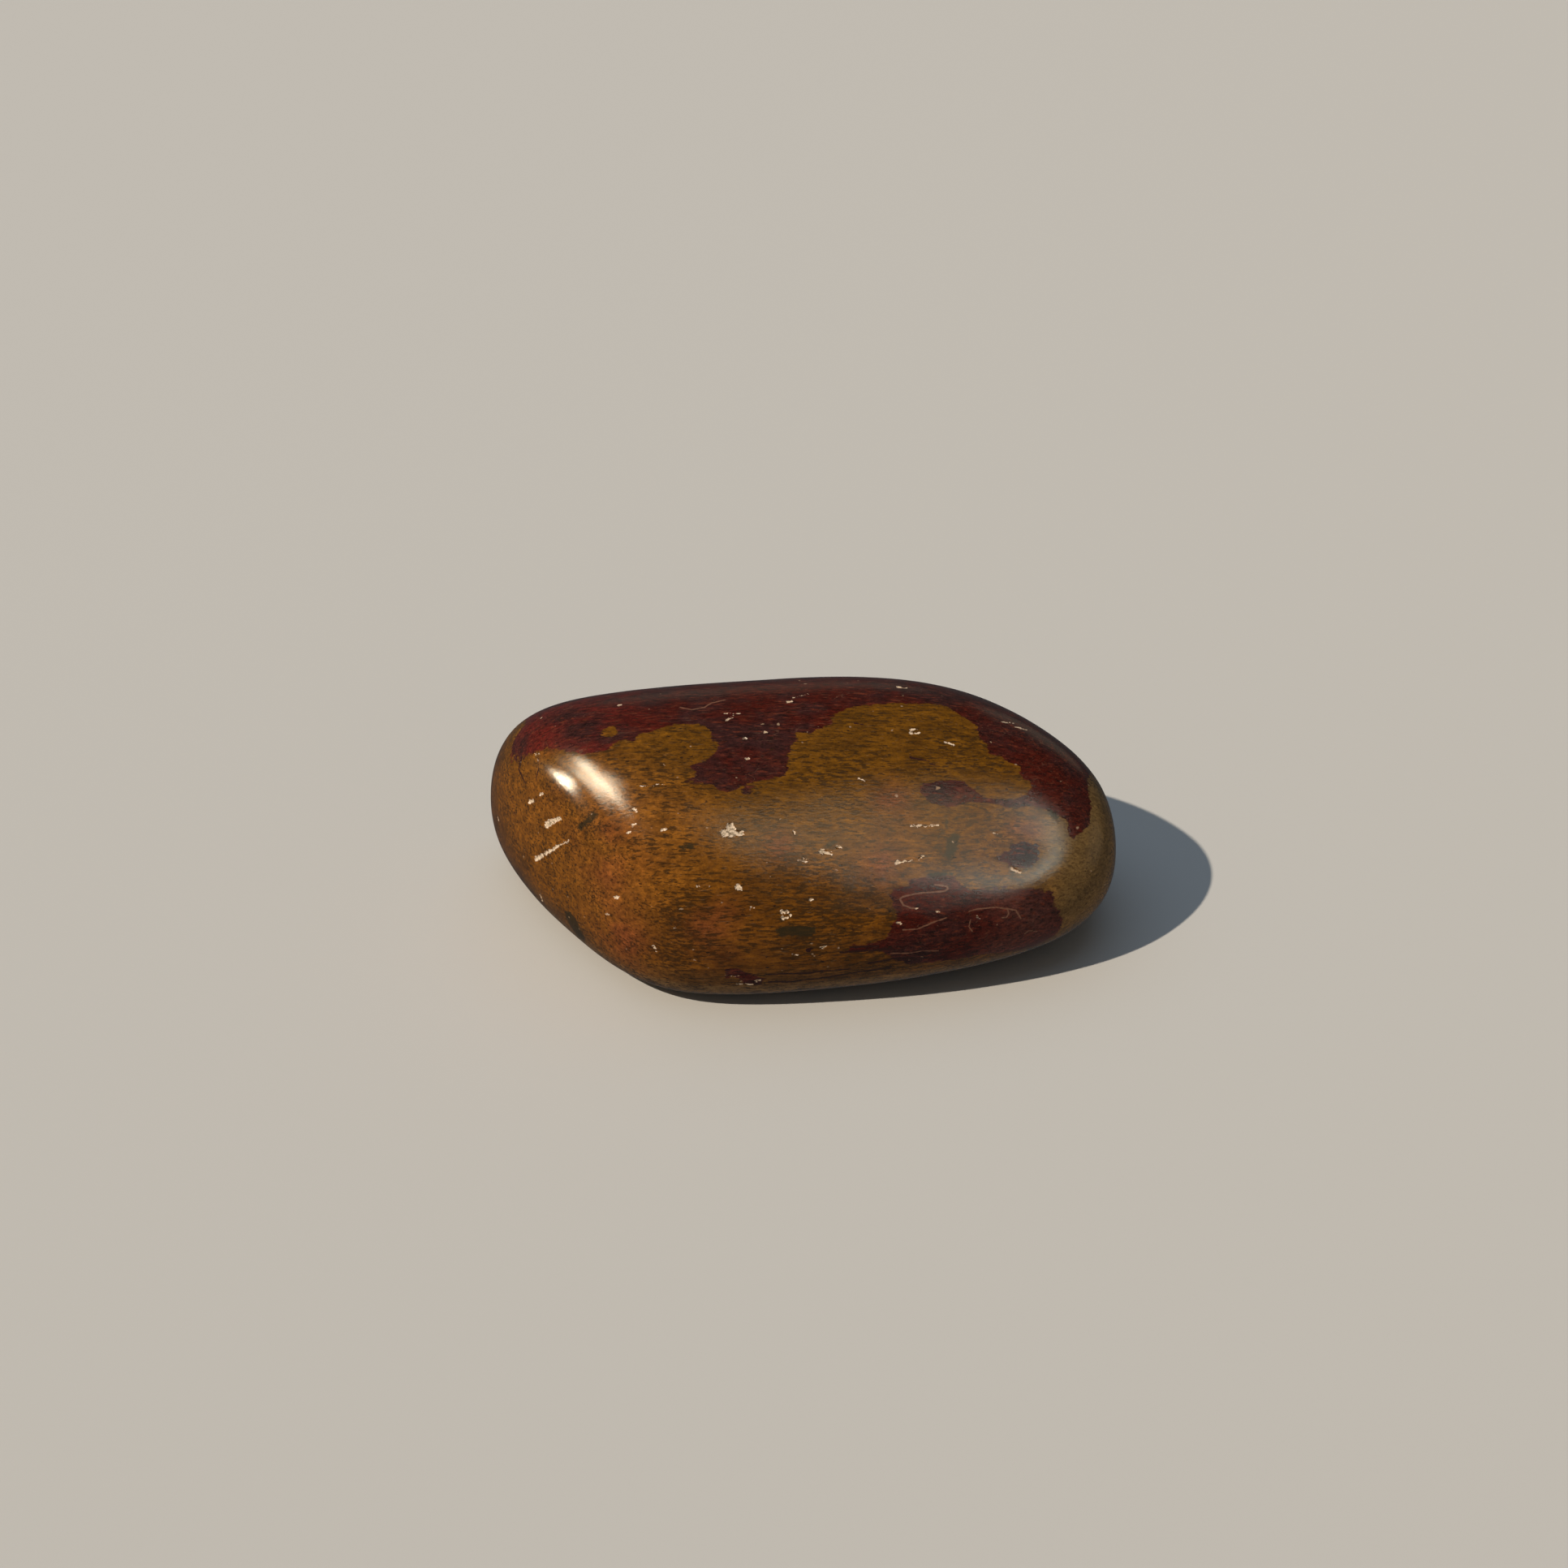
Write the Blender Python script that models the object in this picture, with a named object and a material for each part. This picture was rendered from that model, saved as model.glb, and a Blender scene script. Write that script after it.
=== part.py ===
"""A tumbled pebble of mustard and maroon jasper, lying on a worn flat.

The body is a long rounded block whose corners and sides the tumbling has worn into
broad, soft flats. Its origin is the middle of its footprint, with +X along its length.
"""
import math

import bmesh
import bpy
from mathutils import Vector

MM = 0.001

# Half sizes of the block before wear, in millimetres
HALF_LENGTH = 37.1
HALF_WIDTH = 16.7
HALF_HEIGHT = 16.4

# 2 is an ellipsoid, and more is squarer
SQUARENESS = 2.8

# How crisply a worn flat meets the round body: low melts in, high leaves a ridge
WEAR_CRISPNESS = 8.0

# The stone is cut off level at this depth below the block's middle, where it rests
REST_DEPTH = 10.5

# Each worn flat: its name, the compass direction that it faces (degrees from +X
# towards +Y), how far it faces up, and its distance from the block's middle
WORN_FLATS = [
    ("underside", 0, -90, 11.5),
    ("top", 90, 89, 14.6),
    ("front_top", 283, 50, 12.85),
    ("back_top", 96, 40, 15.9),
    ("left_end", 192, -5, 25.4),
    ("left_flank", 222, 6, 18.4),
    ("lower_left", 214, -42, 20.6),
    ("lower_front", 285, -39, 20.5),
    ("upper_left", 152, 32, 27.0),
    ("upper_right", 49, 41, 24.7),
]

# 5 gives about five thousand triangles, a little over a millimetre each
SPHERE_DETAIL = 5

# Mustard-brown stone with a tumbled polish
STONE_COLOUR = (0.17, 0.075, 0.03, 1.0)
STONE_ROUGHNESS = 0.2


def facing(compass, elevation):
    """The unit vector that points in a compass direction and up by an elevation."""
    turn = math.radians(compass)
    rise = math.radians(elevation)
    return Vector((
        math.cos(turn) * math.cos(rise),
        math.sin(turn) * math.cos(rise),
        math.sin(rise),
    ))


def stretch(point):
    """How many times further out a point is than the worn surface on its own ray."""
    halves = (HALF_LENGTH, HALF_WIDTH, HALF_HEIGHT)
    block = sum(abs(at / half) ** SQUARENESS for at, half in zip(point, halves))
    total = block ** (WEAR_CRISPNESS / SQUARENESS)
    for _, compass, elevation, distance in WORN_FLATS:
        height = point.dot(facing(compass, elevation))
        total += max(0.0, height / distance) ** WEAR_CRISPNESS
    return total ** (1.0 / WEAR_CRISPNESS)


def worn_body():
    """The whole worn pebble around the block's middle, in millimetres."""
    body = bmesh.new()
    bmesh.ops.create_icosphere(body, subdivisions=SPHERE_DETAIL, radius=1.0)
    bmesh.ops.scale(body, vec=(HALF_LENGTH, HALF_WIDTH, HALF_HEIGHT), verts=body.verts)
    for vert in body.verts:
        vert.co /= stretch(vert.co)
    return body


def cut_rest(body):
    """Cut the body level at the rest depth and close it with one flat face."""
    everything = body.verts[:] + body.edges[:] + body.faces[:]
    cut = bmesh.ops.bisect_plane(
        body,
        geom=everything,
        dist=0.01,
        plane_co=(0, 0, -REST_DEPTH),
        plane_no=(0, 0, -1),
        clear_outer=True,
    )
    rim = [item for item in cut["geom_cut"] if isinstance(item, bmesh.types.BMEdge)]
    for edge in rim:
        edge.smooth = False
        for vert in edge.verts:
            vert.co.z = -REST_DEPTH
    bmesh.ops.edgeloop_fill(body, edges=rim)
    bmesh.ops.recalc_face_normals(body, faces=body.faces)


def place_on_origin(body):
    """Bring the middle of the footprint's box to the origin, in metres."""
    ends = [vert.co.x for vert in body.verts]
    sides = [vert.co.y for vert in body.verts]
    middle = Vector((
        (min(ends) + max(ends)) / 2,
        (min(sides) + max(sides)) / 2,
        -REST_DEPTH,
    ))
    bmesh.ops.translate(body, vec=-middle, verts=body.verts)
    bmesh.ops.scale(body, vec=(MM, MM, MM), verts=body.verts)


def polished_stone():
    """The pebble's own material."""
    material = bpy.data.materials.new("polished_stone")
    material.use_nodes = True
    shader = material.node_tree.nodes["Principled BSDF"]
    shader.inputs["Base Color"].default_value = STONE_COLOUR
    shader.inputs["Roughness"].default_value = STONE_ROUGHNESS
    shader.inputs["Metallic"].default_value = 0.0
    material.diffuse_color = STONE_COLOUR
    return material


def make_stone(collection):
    """Shape the pebble and put it in the collection."""
    body = worn_body()
    cut_rest(body)
    for face in body.faces:
        face.smooth = True
    place_on_origin(body)
    mesh = bpy.data.meshes.new("bloodstone")
    body.to_mesh(mesh)
    body.free()
    mesh.materials.append(polished_stone())
    collection.objects.link(bpy.data.objects.new("bloodstone", mesh))


def main():
    for thing in list(bpy.data.objects):
        bpy.data.objects.remove(thing, do_unlink=True)
    collection = bpy.data.collections.new("bloodstone")
    bpy.context.scene.collection.children.link(collection)
    make_stone(collection)


main()
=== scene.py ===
# %% [markdown]
# # A tumbled pebble of mustard and maroon jasper
# The real thing is one stone that was rolled with grit until it shone. Its shape is already in
# the frame, so this lesson only gives it a surface: a fine mesh with small chips, the map of
# its maroon patches, and a polish. Everything is in metres, and +Z is up.

# %% Load the frame
import math

import bmesh
import bpy
import numpy as np
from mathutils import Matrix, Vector, noise
from mathutils.bvhtree import BVHTree


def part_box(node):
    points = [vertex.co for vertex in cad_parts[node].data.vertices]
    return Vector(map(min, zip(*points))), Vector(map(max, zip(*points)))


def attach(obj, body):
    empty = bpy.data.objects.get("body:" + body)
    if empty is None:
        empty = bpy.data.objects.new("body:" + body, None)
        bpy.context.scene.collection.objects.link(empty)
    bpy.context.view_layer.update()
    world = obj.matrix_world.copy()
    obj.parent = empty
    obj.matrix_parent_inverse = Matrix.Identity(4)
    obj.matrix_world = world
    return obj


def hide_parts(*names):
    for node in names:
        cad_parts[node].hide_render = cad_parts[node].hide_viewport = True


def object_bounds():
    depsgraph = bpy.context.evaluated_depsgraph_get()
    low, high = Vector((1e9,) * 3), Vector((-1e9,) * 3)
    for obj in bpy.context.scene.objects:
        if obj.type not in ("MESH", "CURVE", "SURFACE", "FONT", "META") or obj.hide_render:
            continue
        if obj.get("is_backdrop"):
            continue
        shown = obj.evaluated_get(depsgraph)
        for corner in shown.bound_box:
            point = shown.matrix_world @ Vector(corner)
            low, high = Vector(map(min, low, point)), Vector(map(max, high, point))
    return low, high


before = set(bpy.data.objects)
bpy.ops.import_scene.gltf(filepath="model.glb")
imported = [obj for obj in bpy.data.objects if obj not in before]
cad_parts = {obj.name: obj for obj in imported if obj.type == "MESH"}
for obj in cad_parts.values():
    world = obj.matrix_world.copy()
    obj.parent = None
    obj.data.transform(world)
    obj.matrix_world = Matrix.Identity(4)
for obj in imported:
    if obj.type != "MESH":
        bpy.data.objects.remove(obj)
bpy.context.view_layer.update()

MM = 0.001
TINY = 1e-12
low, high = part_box("bloodstone")
middle = (low + high) / 2
print("the stone measures", [round(side / MM, 1) for side in high - low], "mm")

# %% [markdown]
# ## The camera
# The photograph looks down on the stone from a little above, through a long lens, which keeps
# the far end as large as the near one. The camera is made first, because the next cells read
# places off the photograph through it.

# %% Place the camera
PHOTO_SIZE = 1932
SENSOR = 36.0
LENS = 111.8
CAMERA_AZIMUTH = math.radians(-2)
CAMERA_ELEVATION = math.radians(38)
CAMERA_DISTANCE = 483.4 * MM
CAMERA_AIM = Vector((-1.8, 0.0, 16.4)) * MM

camera_back = Vector((
    math.sin(CAMERA_AZIMUTH) * math.cos(CAMERA_ELEVATION),
    -math.cos(CAMERA_AZIMUTH) * math.cos(CAMERA_ELEVATION),
    math.sin(CAMERA_ELEVATION),
))
camera_data = bpy.data.cameras.new("camera")
camera_data.lens = LENS
camera_data.sensor_width = SENSOR
camera = bpy.data.objects.new("camera", camera_data)
camera.location = CAMERA_AIM + camera_back * CAMERA_DISTANCE
camera.rotation_euler = camera_back.to_track_quat("Z", "Y").to_euler()
bpy.context.collection.objects.link(camera)
bpy.context.scene.camera = camera
bpy.context.view_layer.update()
print("the camera is", round(CAMERA_DISTANCE / MM), "mm from the stone")

# %% [markdown]
# ## From the photograph to the stone
# A mark that is at a pixel of the photograph has to lie on the stone's skin. A ray from the
# camera through that pixel finds the place. A pixel just off the outline is moved towards the
# stone's middle until its ray hits, so that a patch can run up to the edge.

# %% Find a pixel's place on the stone
STONE_PIXEL = Vector((988, 1030))
MOST_STEPS = 60
SAME_PLACE = 0.001 * MM

skin = bmesh.new()
skin.from_mesh(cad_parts["bloodstone"].data)
bmesh.ops.remove_doubles(skin, verts=skin.verts, dist=SAME_PLACE)
skin_tree = BVHTree.FromBMesh(skin)


def look(tree, pixel):
    """The point and the normal that show at a pixel of the photograph, or at the nearest one."""
    here = Vector(pixel)
    turn = camera.matrix_world.to_3x3()
    for _ in range(MOST_STEPS):
        across = (here.x / PHOTO_SIZE - 0.5) * SENSOR / LENS
        up = (0.5 - here.y / PHOTO_SIZE) * SENSOR / LENS
        point, normal, _, _ = tree.ray_cast(camera.location, turn @ Vector((across, up, -1)))
        if point is not None:
            return point, normal
        here += (STONE_PIXEL - here).normalized()
    raise ValueError(f"no ray near {pixel} meets the stone")


def seen_at(pixel):
    """The point of the frame's stone that shows at a pixel."""
    return look(skin_tree, pixel)[0]


print("the middle of the picture of the stone is", seen_at(STONE_PIXEL))

# %% [markdown]
# ## The fine body
# The frame's mesh has facets that a polish would show. A fine ball is stretched to the stone's
# box and every vertex is sent outwards along its own ray until it meets the frame's skin. A
# ball of small triangles wraps a round stone evenly, which a grid with poles wouldn't. Then a
# few passes of smoothing melt the facets away, as tumbling did.

# %% Wrap a fine ball round the frame's stone
BALL_DETAIL = 7
SMOOTHING_PASSES = 24
SMOOTHING_STRENGTH = 0.5

body = bmesh.new()
bmesh.ops.create_icosphere(body, subdivisions=BALL_DETAIL, radius=1.0)
bmesh.ops.scale(body, vec=(high - low) / 2, verts=body.verts)
for vert in body.verts:
    vert.co = skin_tree.ray_cast(middle, vert.co)[0]
for _ in range(SMOOTHING_PASSES):
    bmesh.ops.smooth_vert(
        body, verts=body.verts, factor=SMOOTHING_STRENGTH,
        use_axis_x=True, use_axis_y=True, use_axis_z=True,
    )
print("the body has", len(body.faces), "faces")

# %% [markdown]
# ## Where the small marks are
# Knocks left pale chips and scratches, and a few dark grains stayed in the skin. Each is kept
# as a line from one pixel to another with a half width in millimetres, so one function can
# measure all of them. The skin around them is divided more finely, so that a chip can be a
# real dent and not only a colour.

# %% List the marks
PALE_CHIPS = [
    ((893, 1026), (914, 1027), 0.42), ((900, 1019), (904, 1022), 0.40),
    ((1012, 1049), (1024, 1052), 0.26), ((1031, 1044), (1036, 1044), 0.16),
    ((990, 1059), (993, 1061), 0.22), ((978, 1025), (979, 1028), 0.14),
    ((909, 1093), (913, 1096), 0.28), ((859, 1092), (864, 1092), 0.16),
    ((1105, 1063), (1110, 1062), 0.20), ((1133, 1058), (1138, 1054), 0.14),
    ((1247, 1070), (1257, 1075), 0.20), ((1225, 1026), (1228, 1026), 0.12),
    ((1122, 899), (1128, 898), 0.14), ((1122, 903), (1133, 903), 0.15),
    ((1165, 914), (1175, 918), 0.12), ((1107, 846), (1117, 847), 0.22),
    ((673, 1016), (690, 1008), 0.36), ((652, 988), (657, 987), 0.24),
    ((665, 979), (669, 978), 0.16), ((613, 1007), (614, 1011), 0.16),
    ((666, 1104), (668, 1110), 0.16), ((781, 997), (784, 999), 0.16),
    ((780, 1015), (783, 1015), 0.15), ((773, 1026), (777, 1025), 0.14),
    ((816, 1022), (821, 1021), 0.14), ((659, 929), (664, 929), 0.14),
    ((666, 883), (671, 881), 0.15), ((681, 894), (684, 893), 0.14),
    ((761, 868), (765, 868), 0.14), ((970, 865), (976, 864), 0.14),
    ((941, 902), (945, 902), 0.16), ((917, 909), (920, 910), 0.16),
    ((920, 935), (923, 935), 0.16), ((896, 887), (904, 882), 0.12),
    ((757, 1106), (763, 1105), 0.20), ((747, 1127), (751, 1127), 0.14),
    ((805, 1166), (808, 1172), 0.18), ((925, 1119), (929, 1119), 0.11),
    ((964, 1124), (971, 1124), 0.20), ((965, 1131), (971, 1131), 0.20),
    ((974, 1127), (974, 1129), 0.16), ((999, 1109), (1002, 1108), 0.15),
    ((1013, 1168), (1018, 1166), 0.20), ((977, 1176), (983, 1177), 0.10),
    ((908, 1213), (927, 1213), 0.14), ((929, 1210), (938, 1207), 0.16),
    ((896, 1203), (906, 1203), 0.10), ((1106, 1137), (1110, 1138), 0.16),
    ((1204, 1130), (1208, 1132), 0.12), ((1129, 1119), (1131, 1119), 0.10),
    ((1154, 1123), (1157, 1123), 0.09), ((830, 1144), (833, 1144), 0.12),
]
SCRATCHES = [
    ((660, 1059), (688, 1042), 0.24), ((688, 1042), (701, 1036), 0.08),
    ((1122, 1017), (1145, 1018), 0.09), ((1148, 1017), (1156, 1017), 0.09),
    ((1112, 1062), (1132, 1058), 0.05), ((1236, 889), (1252, 891), 0.08),
    ((1252, 895), (1269, 900), 0.11), ((893, 879), (911, 879), 0.06),
    ((976, 860), (995, 855), 0.05), ((783, 989), (779, 995), 0.08),
    ((786, 969), (818, 966), 0.05), ((1058, 959), (1065, 962), 0.08),
]
DARK_GRAINS = [
    ((1053, 891), (1066, 893), 0.12), ((1064, 900), (1070, 900), 0.07),
    ((1122, 933), (1145, 938), 0.13), ((1146, 941), (1158, 944), 0.09),
    ((642, 934), (639, 948), 0.20), ((639, 948), (647, 965), 0.16),
    ((650, 932), (650, 945), 0.10), ((662, 932), (663, 947), 0.13),
    ((663, 947), (660, 962), 0.12), ((996, 1171), (999, 1169), 0.28),
    ((970, 1128), (971, 1128), 0.10),
]
print(len(PALE_CHIPS), "chips,", len(SCRATCHES), "scratches and", len(DARK_GRAINS), "dark grains")

# %% Trace the veins and the dark layers
VEIN_HALF_WIDTH = 0.07
VEINS = [
    [(1152, 1090), (1167, 1092), (1168, 1095), (1164, 1098), (1152, 1099), (1138, 1100),
     (1125, 1102), (1112, 1105), (1109, 1108), (1113, 1115), (1123, 1119), (1131, 1119)],
    [(1194, 1123), (1205, 1120), (1227, 1118), (1243, 1120), (1252, 1122), (1258, 1132)],
    [(1242, 1121), (1243, 1126), (1240, 1131), (1235, 1131)],
    [(1196, 1133), (1194, 1142), (1198, 1148)],
    [(1113, 1146), (1130, 1145), (1142, 1140), (1151, 1136), (1166, 1131)],
    [(1263, 1151), (1268, 1147), (1278, 1148)],
    [(1098, 1175), (1120, 1175), (1136, 1172), (1156, 1172)],
    [(838, 871), (852, 874), (868, 871), (876, 866), (893, 862)],
    [(690, 933), (679, 943), (674, 950)],
]
LAYER_HALF_WIDTH = 0.15
LAYERS = [
    [(947, 1201), (960, 1200), (980, 1200), (997, 1199), (1013, 1197), (1025, 1196), (1047, 1194)],
    [(948, 1210), (973, 1210), (997, 1207), (1030, 1203), (1063, 1197), (1097, 1192)],
    [(1036, 1174), (1063, 1172), (1080, 1171), (1100, 1169)],
    [(1047, 1167), (1063, 1167), (1082, 1166)],
    [(1070, 1187), (1100, 1182), (1125, 1180)],
]


def straight_pieces(lines, half_width):
    """The marks that a list of bent lines is made of."""
    return [(first, last, half_width) for line in lines for first, last in zip(line, line[1:])]


vein_marks = straight_pieces(VEINS, VEIN_HALF_WIDTH)
layer_marks = straight_pieces(LAYERS, LAYER_HALF_WIDTH)
print(len(vein_marks), "straight pieces of vein and", len(layer_marks), "of dark layers")

# %% Measure how deep a point is inside a mark
MARK_TAPER = 0.45
FAR_OUTSIDE = -9.0


def depth_in_marks(points, marks, taper=MARK_TAPER):
    """Millimetres inside the edge of the nearest mark, negative outside."""
    best = np.full(len(points), FAR_OUTSIDE)
    for first, last, half_width in marks:
        start = np.array(seen_at(first))
        along = np.array(seen_at(last)) - start
        share = np.clip((points - start) @ along / max(along @ along, TINY), 0, 1)
        gap = np.linalg.norm(points - start - share[:, None] * along, axis=1)
        best = np.maximum(best, half_width * (1 - taper * share) - gap / MM)
    return best


def positions(mesh):
    """The places of a bmesh's vertices, as rows."""
    return np.array([vert.co for vert in mesh.verts])


print("marks narrow by", round(100 * MARK_TAPER), "% from their first end to their last")

# %% Divide the skin more finely near the marks
REFINE_REACHES = (0.5, 0.25, 0.12)
MARKS = PALE_CHIPS + SCRATCHES + DARK_GRAINS + vein_marks
WIDE_MARKS = MARKS + layer_marks

for reach in REFINE_REACHES:
    marks = MARKS if reach == min(REFINE_REACHES) else WIDE_MARKS
    near = depth_in_marks(positions(body), marks) > -reach
    edges = [edge for edge in body.edges if near[edge.verts[0].index] or near[edge.verts[1].index]]
    bmesh.ops.subdivide_edges(body, edges=edges, cuts=1, use_grid_fill=False)
    bmesh.ops.triangulate(body, faces=[face for face in body.faces if len(face.verts) > 3])
    body.verts.index_update()
    print("within", reach, "mm divided to", len(body.faces), "faces")

# %% [markdown]
# ## Dents and soft waves
# A tumbled stone is never a perfect curve: long, low waves bend its highlights. Two octaves of
# smooth noise move the skin by less than a tenth of a millimetre, and they fade out towards
# the table so that the stone still rests on its flat. The chips are pressed in afterwards.

# %% Shape the waves and press in the chips
WAVE_LENGTHS = (7.0, 3.0)
WAVE_HEIGHTS = (0.035, 0.012)
FADE_HEIGHT = 2.0
CHIP_DEPTH = 0.09
SCRATCH_DEPTH = 0.05

places = positions(body)
chip_depth = depth_in_marks(places, PALE_CHIPS)
scratch_depth = depth_in_marks(places, SCRATCHES)
grain_depth = depth_in_marks(places, DARK_GRAINS)
vein_depth = depth_in_marks(places, vein_marks, taper=0.0)
layer_depth = depth_in_marks(places, layer_marks, taper=0.0)
body.normal_update()
for vert in body.verts:
    fade = min(1.0, vert.co.z / (FADE_HEIGHT * MM))
    wave = sum(
        height * noise.noise(vert.co / (length * MM))
        for length, height in zip(WAVE_LENGTHS, WAVE_HEIGHTS)
    )
    dent = min(CHIP_DEPTH, max(0.0, chip_depth[vert.index]))
    dent += min(SCRATCH_DEPTH, max(0.0, scratch_depth[vert.index]))
    vert.co += vert.normal * (wave * fade - dent) * MM
    vert.co.z = max(0.0, vert.co.z)
print("the deepest chip is", CHIP_DEPTH, "mm")

# %% [markdown]
# ## The map of the patches
# The maroon patches have clear outlines, so they are drawn as outlines, not left to chance. To
# draw on a round stone, its skin is unrolled like a label: one axis is the length, and the
# other is the way round, measured from the front over the top to the back. What shows in the
# photograph is given in its pixels, and the far side is drawn directly on the unrolled label.

# %% Unroll the skin
WRAP_RADIUS = 14.0


def unroll(points):
    """Millimetres along the stone, and round it from the front over the top."""
    points = np.atleast_2d(np.array(points)) / MM
    wrap = np.arctan2(points[:, 2] - middle.z / MM, -points[:, 1])
    wrap = np.where(wrap < -math.pi / 2, wrap + 2 * math.pi, wrap)
    return np.column_stack([points[:, 0], wrap * WRAP_RADIUS])


def on_label(x, wrap_degrees):
    """A point of the label from its length in millimetres and its turn in degrees."""
    return x, math.radians(wrap_degrees) * WRAP_RADIUS


def depth_inside(points, outline):
    """How far each label point is inside a closed outline, negative outside."""
    corners = np.array(outline)
    ends = np.roll(corners, -1, axis=0)
    inside = np.zeros(len(points), bool)
    nearest = np.full(len(points), np.inf)
    for start, end in zip(corners, ends):
        along = end - start
        share = np.clip((points - start) @ along / max(along @ along, TINY), 0, 1)
        gap = np.linalg.norm(points - start - share[:, None] * along, axis=1)
        nearest = np.minimum(nearest, gap)
        spans = (start[1] > points[:, 1]) != (end[1] > points[:, 1])
        rise = along[1] if along[1] else TINY
        crossing = start[0] + (points[:, 1] - start[1]) / rise * along[0]
        inside ^= spans & (points[:, 0] < crossing)
    return np.where(inside, nearest, -nearest)


print("the label is", round(2 * math.pi * WRAP_RADIUS), "mm the way round")

# %% Draw the outlines
CAP_EDGE = [
    (647, 890), (640, 899), (633, 909), (629, 922), (631, 931), (641, 934), (655, 928),
    (668, 921), (700, 924), (722, 930),
    (740, 925), (752, 921), (758, 913), (772, 911), (784, 913), (786, 905), (802, 901),
    (813, 897), (838, 891), (858, 892), (870, 895), (875, 901), (876, 913), (884, 914),
    (886, 921), (879, 930), (864, 938), (850, 944), (857, 951), (854, 958), (843, 965),
    (879, 966), (888, 977), (902, 975), (913, 970), (924, 965), (938, 962), (956, 959),
    (967, 955), (972, 943), (970, 930), (975, 919), (982, 912), (981, 903), (1003, 902),
    (1012, 897), (1027, 891), (1023, 885), (1031, 879), (1042, 874), (1058, 869),
    (1075, 868), (1100, 866), (1144, 867), (1160, 868), (1173, 873), (1182, 880),
    (1196, 888), (1204, 895), (1206, 907), (1216, 918), (1218, 930), (1231, 931),
    (1245, 940), (1256, 945), (1260, 959), (1269, 963), (1272, 969), (1266, 978),
    (1259, 982), (1245, 985), (1227, 985), (1213, 983), (1202, 974), (1191, 965),
    (1180, 961), (1160, 962), (1138, 965), (1134, 974), (1142, 987), (1167, 995),
    (1185, 991), (1200, 987), (1216, 989), (1242, 995), (1275, 993), (1291, 999),
    (1313, 1009), (1320, 1037), (1342, 1018), (1345, 996), (1342, 979), (1341, 957),
]
CAP_FAR_EDGE = [
    (29, 110), (24, 132), (17, 141), (12, 165), (3, 178), (-4, 172), (-9, 150),
    (-17, 158), (-22, 184), (-26, 170), (-27.5, 148), (-27.4, 126),
]
LOWER_PATCH = [
    (1096, 1102), (1100, 1094), (1117, 1091), (1125, 1083), (1145, 1079), (1170, 1079),
    (1179, 1083), (1192, 1096), (1225, 1094), (1265, 1094), (1297, 1099), (1299, 1115),
    (1308, 1128), (1309, 1140), (1300, 1153), (1275, 1166), (1212, 1176), (1175, 1183),
    (1120, 1188), (1100, 1181), (1085, 1172), (1045, 1173), (1047, 1165), (1082, 1162),
    (1094, 1152), (1100, 1140), (1106, 1127), (1100, 1115),
]
SHOULDER_SPOT = [
    (1226, 1056), (1231, 1051), (1242, 1050), (1246, 1041), (1260, 1038), (1277, 1040),
    (1282, 1050), (1278, 1061), (1269, 1070), (1249, 1068), (1235, 1063),
]
TONGUE_SHRED = [(913, 972), (921, 968), (930, 969), (924, 973), (928, 977), (916, 978)]
CAP_ISLAND = [(740, 903), (745, 897), (752, 894), (760, 896), (763, 901), (757, 907), (748, 908)]
WEDGE = [
    (893, 1195), (900, 1192), (918, 1197), (932, 1202), (942, 1206), (939, 1213), (922, 1213),
    (912, 1207), (903, 1203), (895, 1205),
]
FAR_ISLAND = [(-6, 152), (0, 146), (6, 150), (8, 157), (3, 163), (-3, 160)]
FAR_PATCH = [(-14, 215), (-3, 204), (8, 212), (19, 208), (23, 222), (10, 236), (-8, 233)]


def photo_outline(pixels):
    """An outline drawn on the photograph, on the unrolled label."""
    return [tuple(unroll(seen_at(pixel))[0]) for pixel in pixels]


def label_outline(places):
    """An outline given as millimetres and degrees, on the unrolled label."""
    return [on_label(x, turn) for x, turn in places]


label = unroll(positions(body))
maroon = depth_inside(label, photo_outline(CAP_EDGE) + label_outline(CAP_FAR_EDGE))
for outline in (LOWER_PATCH, SHOULDER_SPOT, TONGUE_SHRED, WEDGE):
    maroon = np.maximum(maroon, depth_inside(label, photo_outline(outline)))
maroon = np.maximum(maroon, depth_inside(label, label_outline(FAR_PATCH)))
for island in (photo_outline(CAP_ISLAND), label_outline(FAR_ISLAND)):
    maroon = np.minimum(maroon, -depth_inside(label, island))
print("maroon covers", round(100 * float(np.mean(maroon > 0))), "% of the vertices")

# %% [markdown]
# ## Tints that have no edge
# Some colour only breathes through the stone, such as a red cast on the left or a violet tinge
# in the maroon. Other soft tints are painted light: a painted sheen on the lit left side,
# painted shade low on the front, and a painted reflection with bounce light on the right end.
# They are soft spots, each with a pixel and a radius in millimetres, which add up to one value
# at every vertex. The dark smudges have an edge, so they are lines, as the marks are.

# %% Measure the soft tints
EMBERS = [
    ((745, 1050), 4.0), ((765, 1155), 3.5), ((690, 935), 4.0), ((885, 1150), 3.0),
    ((960, 1040), 1.5), ((1100, 990), 2.0), ((1262, 1026), 2.0), ((1090, 1065), 2.0),
]
# Painted reflection and bounce light: paler olive-grey spots on the right end.
RIGHT_END_SHEEN_SPOTS = [((1352, 1040), 4.5), ((1335, 1110), 4.5), ((1345, 980), 3.0)]
ROSES = [((1228, 1170), 2.2), ((1280, 1145), 3.2), ((1245, 1105), 2.0)]
VIOLETS = [((1262, 1052), 1.6), ((1156, 976), 1.4)]
# Painted sheen: lighter spots on the lit left side.
PAINTED_SHEEN_SPOTS = [((830, 1040), 5.0), ((760, 1010), 6.0), ((740, 1110), 6.0), ((650, 1000), 6.0)]
# Painted shade: spots low on the front, where the dark strokes crowd.
PAINTED_SHADE_SPOTS = [
    ((950, 1085), 4.0), ((1040, 1120), 3.5), ((1000, 1180), 4.5), ((850, 1175), 3.5),
    ((1075, 1165), 3.0), ((1165, 1045), 2.0), ((840, 1095), 3.0),
]
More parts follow.
